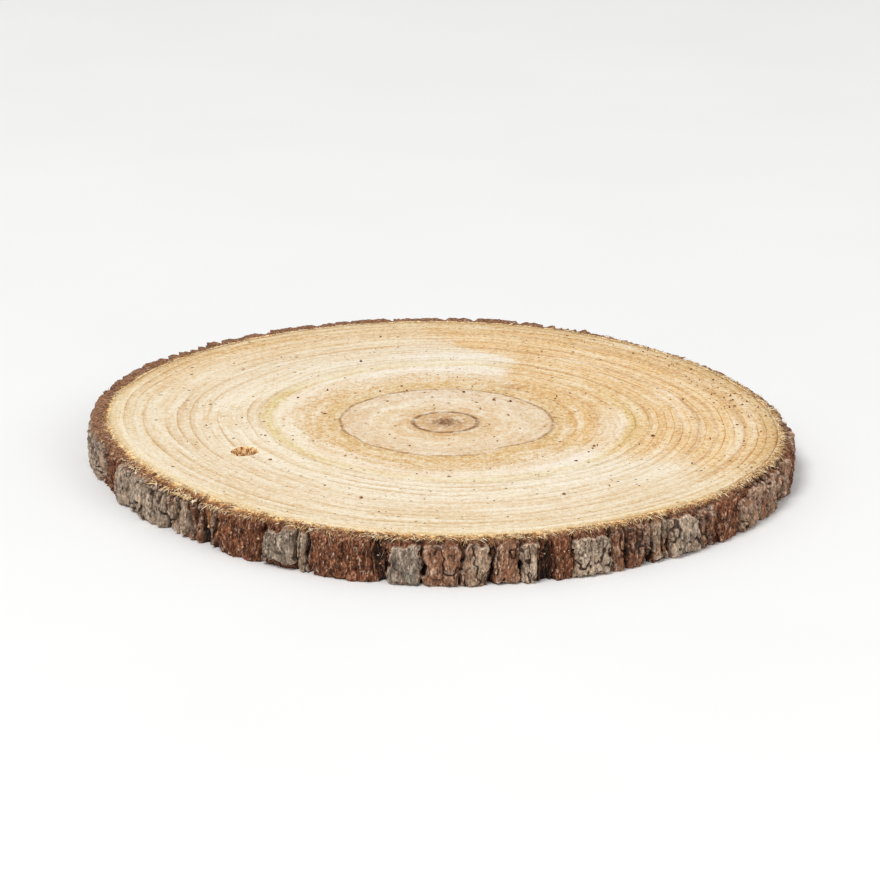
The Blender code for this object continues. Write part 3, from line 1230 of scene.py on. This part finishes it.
# Colours by value, each list for one ramp
PIT_COLOURS = (
    (0.34, (0.17, 0.06, 0.018)),
    (0.44, (0.54, 0.25, 0.09)),
    (0.54, (0.83, 0.50, 0.22)),
    (0.66, (0.96, 0.78, 0.49)),
)
PLATE_COLOURS = (
    (0.00, (0.18, 0.138, 0.104)),
    (0.20, (0.40, 0.302, 0.216)),
    (0.40, (0.37, 0.260, 0.176)),
    (0.58, (0.33, 0.186, 0.112)),
    (0.76, (0.23, 0.103, 0.054)),
    (1.00, (0.20, 0.085, 0.045)),
)
BARE_COLOURS = (
    (0.34, (0.038, 0.012, 0.006)),
    (0.45, (0.115, 0.036, 0.015)),
    (0.54, (0.215, 0.078, 0.034)),
    (0.63, (0.35, 0.148, 0.068)),
    (0.74, (0.55, 0.31, 0.18)),
)
BROW_COLOURS = (
    (0.34, (0.065, 0.024, 0.012)),
    (0.46, (0.19, 0.080, 0.040)),
    (0.56, (0.36, 0.170, 0.085)),
    (0.68, (0.62, 0.40, 0.21)),
)
INNER_BARK_COLOURS = (
    (0.00, (0.76, 0.56, 0.31)),
    (0.15, (0.79, 0.58, 0.32)),
    (0.45, (0.66, 0.41, 0.175)),
    (0.72, (0.42, 0.20, 0.075)),
    (1.00, (0.18, 0.072, 0.032)),
)
GOLDEN_SHADES = (
    (0.0, (0.26, 0.11, 0.04)),
    (0.35, (0.66, 0.40, 0.165)),
    (0.70, (0.88, 0.65, 0.35)),
    (1.0, (0.97, 0.87, 0.68)),
)
TORN_WOOD_SHADES = (
    (0.0, (0.14, 0.05, 0.018)),
    (0.4, (0.45, 0.20, 0.07)),
    (0.7, (0.80, 0.50, 0.20)),
    (1.0, (0.96, 0.80, 0.52)),
)
BARK_FIBRE_SHADES = (
    (0.0, (0.07, 0.026, 0.014)),
    (0.4, (0.20, 0.085, 0.046)),
    (0.8, (0.40, 0.21, 0.13)),
    (1.0, (0.66, 0.47, 0.35)),
)
CRUMB_SHADES = (
    (0.0, (0.07, 0.026, 0.013)),
    (0.4, (0.21, 0.09, 0.045)),
    (0.7, (0.46, 0.25, 0.12)),
    (0.88, (0.76, 0.56, 0.33)),
    (1.0, (0.86, 0.76, 0.62)),
)
FLOOR_COLOURS = ((0.3, (0.90, 0.90, 0.895)), (0.7, (0.92, 0.92, 0.915)))


def sawn_face_group():
    """The colour and fine relief of sawn wood across the grain.

    Colour follows the growth value through a ramp. Rings darken slowly and end sharply.
    Thin streaks run along the rings, a golden tint covers the warm side, and pores,
    specks and saw marks lie over it.
    """
    group, bench, given, result = new_group(
        "sawn_face",
        [("Saw marks", NUMBER, 0.2), ("Weathering", NUMBER, 0.0)],
        [("Colour", COLOUR), ("Rough", NUMBER), ("Height", NUMBER)],
    )
    place = bench.place()
    centre = (PITH[0] * MM, PITH[1] * MM, 0.0)
    away = (place - centre) * (1.0, 1.0, 0.0)
    growth = bench.named("growth")
    count = bench.named("ring_count")
    sway = bench.noise(place, 2.6, 2.0) - 0.5
    frill = bench.noise(place, 0.45, 2.0) - 0.5
    shift = sway * 0.55 + frill * 0.42
    age = growth + shift
    colour = bench.ramp(age / 65.0, [(a / 65.0, c) for a, c in WOOD_BY_GROWTH])

    # the golden side
    patchy = bench.noise(place, 9.0, 3.0)
    warm = bench.named("warmth") * bench.rise(patchy, 0.25, 0.6, 0.75, 1.0)
    golden = bench.ramp(age / 65.0, [(a / 65.0, c) for a, c in GOLDEN_BY_GROWTH])
    colour = bench.mix(warm, colour, golden)
    # paler, greyer wood, and a painted sheen at the front
    cool_and_sheen = bench.named("coolness_and_sheen") * bench.rise(patchy, 0.2, 0.6, 0.6, 1.0)
    colour = bench.stain(cool_and_sheen, colour, (1.035, 1.1, 1.24))
    orange = bench.rise(bench.noise(place, 16.0, 2.0), 0.55, 0.75) * 0.5
    colour = bench.stain(orange, colour, (0.965, 0.9, 0.8))
    smear = bench.rise(bench.noise(place, 6.0, 3.0), 0.48, 0.66) * bench.rise(growth, 14.0, 8.0)
    colour = bench.stain(smear * 0.7, colour, (0.93, 0.78, 0.6))
    olive = bench.named("olive") * bench.rise(bench.noise(place, 0.8, 3.0, 0.7), 0.31, 0.52)
    colour = bench.mix(olive * 0.9, colour, (0.79, 0.64, 0.285))

    # rings: each is palest where it begins and darkens to its sharp outer line
    turn = count + shift * 0.34
    part = bench.maths("FRACT", turn)
    late = bench.maths("POWER", part, 2.0) * bench.rise(part, 1.0, 0.9)
    heading = bench.put("VectorMath", {0: away}, operation="NORMALIZE")
    whole = bench.maths("FLOOR", turn)
    spot = bench.lifted(whole * 3.7)
    by_ring = heading * (1.5, 1.5, 0.0) + spot
    ring_power = bench.plain_noise(by_ring, 2.0)
    power = bench.rise(ring_power, 0.3, 0.68) * bench.rise(growth, 30.0, 40.0)
    line = late * (power * (1.0 - warm))
    colour = bench.stain(line, colour, (0.8, 0.67, 0.5))
    hair = bench.rise(part, 0.8, 0.9) * bench.rise(part, 0.985, 0.93)
    thin = hair * (warm * bench.rise(ring_power, 0.3, 0.55, 0.25, 0.85))
    colour = bench.stain(thin, colour, (0.76, 0.58, 0.4))
    hair = hair * (power * 0.8)
    colour = bench.stain(hair, colour, (0.85, 0.72, 0.57))

    # the second ring's line is lost for a little way at the front
    lost_way = (math.cos(math.radians(-66.0)), math.sin(math.radians(-66.0)), 0.0)
    beside = bench.put("VectorMath", {0: heading, 1: lost_way}, "Value", operation="DOT_PRODUCT")
    near_line = bench.rise(bench.maths("ABSOLUTE", age - 20.6), 0.9, 0.35)
    lost = bench.rise(beside, 0.9925, 0.9975) * near_line
    colour = bench.mix(lost, colour, (0.8, 0.61, 0.37))

    # streaks along the rings
    streak = bench.plain_noise(heading * (7.0, 7.0, 0.0) + bench.lifted(age / 0.42), 3.0)
    band = bench.plain_noise(heading * (2.2, 2.2, 0.0) + bench.lifted(age / 1.9), 2.0)
    colour = bench.stain(bench.rise(streak, 0.42, 0.72, 0.0, 0.75), colour, (0.89, 0.78, 0.63))
    colour = bench.stain(bench.rise(band, 0.45, 0.72, 0.0, 0.55), colour, (0.93, 0.84, 0.7))
    colour = bench.mix(bench.rise(band, 0.5, 0.28, 0.0, 0.6), colour, (0.955, 0.855, 0.68), "LIGHTEN")

    # the pith itself: a ragged dark smudge
    core = bench.length(away) + (bench.noise(place, 1.1, 3.0, 0.7) - 0.5) * 0.0085
    colour = bench.mix(bench.rise(core, 0.0031, 0.001, 0.0, 0.85), colour, (0.24, 0.105, 0.035))

    # a brown stain beside the second ring
    stain_at = (centre[0] + 0.0138, centre[1] + 0.0222, 0.0)
    near = bench.length((place - stain_at) * (1.0, 1.0, 0.0)) + (patchy - 0.5) * 0.006
    colour = bench.stain(bench.rise(near, 0.0032, 0.0004, 0.0, 0.45), colour, (0.7, 0.5, 0.3))

    # pores and dark specks
    flat = place * (1.0, 1.0, 0.0)
    ragged = bench.put("TexNoise", {"Vector": place, "Scale": 1.0 / (0.5 * MM), "Detail": 1.0}, "Color")
    ragged = (ragged - (0.5, 0.5, 0.5)) * (0.7 * MM, 0.7 * MM, 0.0)

    def chosen(colours, channel, share):
        """1 in a random share of the cells, and 0 in the rest."""
        picked = bench.put("SeparateColor", {0: colours}, channel)
        return bench.maths("LESS_THAN", picked, share)

    def specks(cell, radius, share, seed):
        """Ragged dots of a radius in a share of the cells, both in millimetres."""
        distance, colours = bench.cells(flat + ragged + (seed, seed * 0.7, 0.0), cell)
        dot = bench.rise(distance, radius / cell, radius / cell * 0.45)
        return dot * chosen(colours, 0, share)

    speck = bench.maths("MAXIMUM", specks(5.2, 0.42, 0.12, 0.3), specks(2.3, 0.26, 0.14, 0.9))
    colour = bench.mix(speck * 0.85, colour, (0.13, 0.06, 0.022))
    pores = specks(0.75, 0.20, 0.36, 1.7)
    pore_power = bench.rise(bench.maths("ABSOLUTE", growth - 25.0), 9.0, 3.0, 0.28, 0.62)
    colour = bench.stain(pores * pore_power, colour, (0.66, 0.47, 0.28))

    # short pale scratches left by the saw
    distance, colours = bench.cells(bench.turned(flat, 0.35, 7.0), 6.0)
    scratch = bench.rise(distance, 0.16, 0.05) * chosen(colours, 1, 0.10)
    colour = bench.mix(scratch * 0.25, colour, (0.96, 0.88, 0.74))

    # speckle of cut fibre ends
    grain = bench.noise(place, 0.85, 4.0, 0.80)
    tan_band = bench.rise(bench.maths("ABSOLUTE", growth - 24.5), 9.0, 2.0)
    dark_ends = bench.maths("MAXIMUM", bench.maths("MAXIMUM", tan_band, warm), bench.named("olive"))
    dark_ends = bench.rise(dark_ends, 0.0, 1.0, 0.55, 1.0)
    ends = bench.rise(grain, 0.49, 0.66) * dark_ends
    colour = bench.stain(ends, colour, (0.755, 0.59, 0.39))
    mottle = bench.rise(bench.noise(place, 1.5, 3.0, 0.75), 0.52, 0.68) * tan_band
    colour = bench.stain(mottle * 0.75, colour, (0.86, 0.71, 0.5))
    colour = bench.mix(bench.rise(grain, 0.48, 0.33, 0.0, 0.5), colour, (0.99, 0.92, 0.8))

    # faint straight saw marks
    marks = bench.noise(bench.turned(flat, -0.42, 0.03), 0.55, 2.0, 0.6)
    mark = bench.rise(marks, 0.4, 0.66) * given["Saw marks"]
    colour = bench.stain(mark, colour, (0.9, 0.82, 0.7))
    weather = bench.rise(patchy, 0.3, 0.7) * given["Weathering"]
    colour = bench.stain(weather, colour, (0.8, 0.76, 0.7))

    # a little less red over all of it, and less blue on the golden side
    tint = bench.mix(warm, (0.985, 1.008, 1.022), (1.0, 0.995, 0.95))
    colour = bench.stain(1.0, colour, tint)

    # the torn pit: fibre ends seen from the side, darker with depth by painted shade, with a painted
    # highlight round its lip
    torn = bench.named("torn")
    fibre = bench.noise(place * (1.0, 1.0, 0.12), 0.75, 3.0, 0.6)
    inside = bench.ramp(fibre, PIT_COLOURS)
    # painted shade: the deeper in the pit, the darker
    sunk = bench.rise(bench.part_of(place, 2), (TOP - 0.95) * MM, (TOP - 0.1) * MM, 0.80, 1.0)
    inside = bench.stain(1.0, inside, bench.grey(sunk))
    colour = bench.mix(bench.rise(torn, 0.35, 0.75), colour, inside)
    # painted highlight round the pit's lip
    lip = bench.rise(torn, 0.0, 0.25) * bench.rise(torn, 0.85, 0.45)
    colour = bench.mix(lip * 0.8, colour, (0.96, 0.87, 0.62))

    bench.join(colour, result["Colour"])
    bench.join(0.68 + grain * 0.24, result["Rough"])
    high = (grain - 0.5) * 0.5 - bench.maths("MAXIMUM", speck, pores * 0.5) * 0.8
    high = high + marks * given["Saw marks"] * 0.9 - line * 0.25 + fibre * torn * 2.0
    bench.join(high, result["Height"])
    return group


def new_material(name, gloss):
    """A Principled material with its specular level. Returns it with its bench and its shader."""
    made = bpy.data.materials.new(name)
    made.use_nodes = True
    shader = made.node_tree.nodes["Principled BSDF"]
    shader.inputs["Specular IOR Level"].default_value = gloss
    return made, Bench(made.node_tree), shader


def finish_with(bench, shader, colour, roughness, height, strength, reach):
    """Joins colour, roughness and a bump of a given reach in millimetres to the shader."""
    bench.join(colour, shader.inputs["Base Color"])
    bench.join(roughness, shader.inputs["Roughness"])
    bump = bench.put("Bump", {"Strength": strength, "Distance": reach * MM, "Height": height})
    bench.join(bump, shader.inputs["Normal"])


def use_group(bench, group, settings):
    """A shader group with its inputs set. Returns its outputs as wires, in order."""
    look = bench.node("ShaderNodeGroup", node_tree=group)
    for label, value in settings.items():
        look.inputs[label].default_value = value
    return [Wire(bench, socket) for socket in look.outputs]


def use_grit(bench, size, contrast, upright=1.0):
    """Tone and height of the speckle that every fibrous surface has."""
    return use_group(bench, GRIT, {"Upright": upright, "Size": size, "Contrast": contrast})


def sawn_material(name, marks, weathering):
    """Sawn wood across the grain, dull and slightly fuzzy."""
    made, bench, shader = new_material(name, 0.15)
    look = use_group(bench, SAWN_FACE, {"Saw marks": marks, "Weathering": weathering})
    finish_with(bench, shader, *look, 0.5, 0.10)
    return made


def bark_material():
    """Scaly bark: grey to red-brown plates on rough red-brown bark; painted shade blackens the gaps,
    cracks and pits, and a painted highlight runs along the plate rims.
    """
    made, bench, shader = new_material("scaly_bark", 0.25)
    place = bench.place()
    tone, height = use_grit(bench, 1.5, 1.20, 0.50)
    cover = bench.named("plate")
    wander = bench.noise(place, 1.6, 3.0, 0.6) - 0.5
    hue = bench.named("plate_hue") + wander * 0.55
    plates = bench.ramp(hue, PLATE_COLOURS)
    threads = bench.noise(place * (1.0, 1.0, 0.22), 0.42, 3.0, 0.65)
    furrows = bench.noise(place * (1.0, 1.0, 0.35), 0.95, 3.0, 0.65)
    plates = bench.stain(bench.rise(furrows, 0.50, 0.34, 0.0, 0.80), plates, (0.48, 0.40, 0.36))
    light = bench.mix(bench.rise(hue, 0.45, 0.75), (0.56, 0.45, 0.355), (0.50, 0.31, 0.205))
    plates = bench.mix(bench.rise(furrows, 0.52, 0.68, 0.0, 0.70), plates, light)
    colour = bench.mix(cover, bench.ramp(threads, BARE_COLOURS), plates)

    # painted highlight on plate rims, lichen, flecks, and painted shade in small pits, in cracks and by
    # depth
    # painted highlight along the plates' rims
    pale = bench.named("rim_highlight") * bench.rise(bench.noise(place, 0.9, 2.0), 0.36, 0.56, 0.0, 0.90)
    colour = bench.mix(pale, colour, (0.66, 0.50, 0.38))
    lichen = bench.rise(bench.noise(place, 3.4, 3.0, 0.6), 0.58, 0.70, 0.0, 0.30) * cover
    colour = bench.mix(lichen, colour, (0.34, 0.335, 0.27))
    upright = place * (1.0, 1.0, 0.45)
    fleck = bench.rise(bench.noise(upright, 0.60, 2.0, 0.6), 0.59, 0.67, 0.0, 0.70)
    colour = bench.mix(fleck, colour, (0.60, 0.44, 0.32))
    # painted shade: near-black spots that stand in for the shade in small pits
    pit_shade_spots = bench.noise(upright + (0.3, 0.1, 0.2), 0.85, 3.0, 0.65)
    colour = bench.mix(bench.rise(pit_shade_spots, 0.41, 0.33, 0.0, 0.85), colour, (0.035, 0.016, 0.010))
    # painted shade in the plates' cracks
    crack = bench.rise(bench.named("crack") + wander * 0.5, 0.25, 0.80, 0.0, 0.88)
    colour = bench.mix(crack, colour, (0.045, 0.021, 0.013))
    colour = bench.stain(1.0, colour, bench.grey(tone))
    # painted shade: the lower the relief, the darker the bark
    shadow = bench.rise(bench.named("relief"), -1.25, 0.15, 0.05, 1.0)
    colour = bench.stain(1.0, colour, bench.grey(shadow))

    # the sawn brow is fresher: red brown with golden crumbs
    level = bench.part_of(place, 2) + wander * 0.0016
    brow = bench.rise(level, (TOP - 1.25) * MM, (TOP - 0.45) * MM)
    fresh = bench.ramp(bench.noise(place, 0.5, 3.0, 0.7), BROW_COLOURS)
    colour = bench.mix(brow * 0.85, colour, fresh)
    ridges = height + (threads * 0.7 + furrows * 0.8)
    finish_with(bench, shader, colour, 0.80 + wander * 0.2, ridges, 0.85, 0.22)
    return made


def inner_bark_material():
    """Torn inner bark: golden near the wood, red-brown outside, with dark flecks."""
    made, bench, shader = new_material("torn_inner_bark", 0.25)
    place = bench.place()
    outward = bench.named("outward")
    tone, height = use_grit(bench, 1.8, 1.30)
    patch = bench.noise(place, 1.6, 3.0, 0.70)
    colour = bench.ramp(outward + (patch - 0.5) * 1.5, INNER_BARK_COLOURS)
    fleck = bench.rise(bench.noise(place, 0.75, 3.0, 0.65), 0.44, 0.35, 0.0, 0.85)
    fleck = fleck * bench.rise(outward, 0.0, 0.45, 0.35, 1.0)
    colour = bench.mix(fleck, colour, (0.14, 0.058, 0.022))
    colour = bench.stain(1.0, colour, bench.grey(tone))
    finish_with(bench, shader, colour, 0.78 + patch * 0.15, height, 0.8, 0.18)
    return made


def loose_material(name, stops):
    """Loose fibres and crumbs, each with its own shade from a ramp."""
    made, bench, shader = new_material(name, 0.25)
    tone, height = use_grit(bench, 0.8, 0.35)
    colour = bench.stain(1.0, bench.ramp(bench.named("shade"), stops), bench.grey(tone))
    finish_with(bench, shader, colour, 0.80 + height * 0.3, height, 0.4, 0.05)
    return made


def floor_material():
    """Plain pale studio floor with the faintest mottling."""
    made, bench, shader = new_material("studio_floor", 0.1)
    mottle = bench.noise(bench.place(), 60.0, 2.0)
    bench.join(bench.ramp(mottle, FLOOR_COLOURS), shader.inputs["Base Color"])
    shader.inputs["Roughness"].default_value = 0.9
    return made


# ---------------------------------------------------------------- the pieces

GRIT = grit_group()
SAWN_FACE = sawn_face_group()

BARK_FINISH = bark_material()
BARK_CRUMB = loose_material("bark_crumb", CRUMB_SHADES)
make_slab("sawn_top", True, TOP_GRID, sawn_material("sawn_face_up", 0.12, 0.0))
make_slab(
    "sawn_underside", False, UNDERSIDE_GRID, sawn_material("sawn_face_down", 0.6, 0.35)
)
make_inner_bark(inner_bark_material())
make_bark("bark_front", BARK_START, BARK_START + 180.0, BARK_FINISH)
make_bark("bark_back", BARK_START + 180.0, BARK_START + 360.0, BARK_FINISH)
make_edge_fibres(loose_material("golden_fibre", GOLDEN_SHADES))
make_pit_fibres(loose_material("torn_wood", TORN_WOOD_SHADES))
make_bark_fibres(loose_material("bark_fibre", BARK_FIBRE_SHADES))
make_crumbs(BARK_CRUMB)
make_dust(BARK_CRUMB)


# ---------------------------------------------------------------- studio

FLOOR_SIDE = 6.0
CAMERA_DISTANCE = 0.725
CAMERA_ELEVATION = math.radians(18.5)
SLICE_SHARE = 0.80  # of the picture's width


def make_floor():
    """A flat square grid under the slice, far larger than the view."""
    side = np.linspace(-0.5, 0.5, 9) * FLOOR_SIDE
    y, x = np.meshgrid(side, side, indexing="ij")
    points = np.stack([x, y, 0.0 * x], axis=-1).reshape(-1, 3)
    quads, _, _ = quads_between(9, 9, False)
    mesh = bpy.data.meshes.new("studio_floor")
    mesh.from_pydata(points.tolist(), [], quads[:, ::-1].tolist())
    mesh.materials.append(floor_material())
    floor = bpy.data.objects.new("studio_floor", mesh)
    bpy.context.scene.collection.objects.link(floor)


def aim(thing, target):
    """Turns a lamp or camera to face a point."""
    heading = target - thing.location
    thing.rotation_mode = "QUATERNION"
    thing.rotation_quaternion = heading.to_track_quat("-Z", "Y")


def make_lamp(name, place, size, power, target):
    """A large soft area lamp."""
    light = bpy.data.lights.new(name, "AREA")
    light.shape = "DISK"
    light.size = size
    light.energy = power
    lamp = bpy.data.objects.new(name, light)
    bpy.context.scene.collection.objects.link(lamp)
    lamp.location = place
    aim(lamp, target)


def make_studio():
    """Soft even light from all round, a broad key lamp from front left, and the camera."""
    scene = bpy.context.scene
    scene.view_settings.view_transform = "Standard"
    world = bpy.data.worlds.new("studio")
    world.use_nodes = True
    world.node_tree.nodes["Background"].inputs["Color"].default_value = (1.0, 1.0, 1.0, 1.0)
    world.node_tree.nodes["Background"].inputs["Strength"].default_value = 0.56
    scene.world = world
    middle = (LOW + HIGH) / 2.0
    make_lamp("key", (-0.70, -1.05, 1.85), 0.9, 27.5, middle)
    make_lamp("fill", (1.3, -1.0, 0.9), 1.0, 5.0, middle)
    view = bpy.data.cameras.new("view")
    camera = bpy.data.objects.new("view", view)
    scene.collection.objects.link(camera)
    up = math.sin(CAMERA_ELEVATION) * CAMERA_DISTANCE
    back = math.cos(CAMERA_ELEVATION) * CAMERA_DISTANCE
    camera.location = middle
    camera.location.y -= back
    camera.location.z += up
    aim(camera, middle)
    view.sensor_width = 36.0
    view.lens = view.sensor_width * SLICE_SHARE * CAMERA_DISTANCE / (HIGH.x - LOW.x)
    view.clip_start = 0.01
    scene.camera = camera


make_floor()
make_studio()
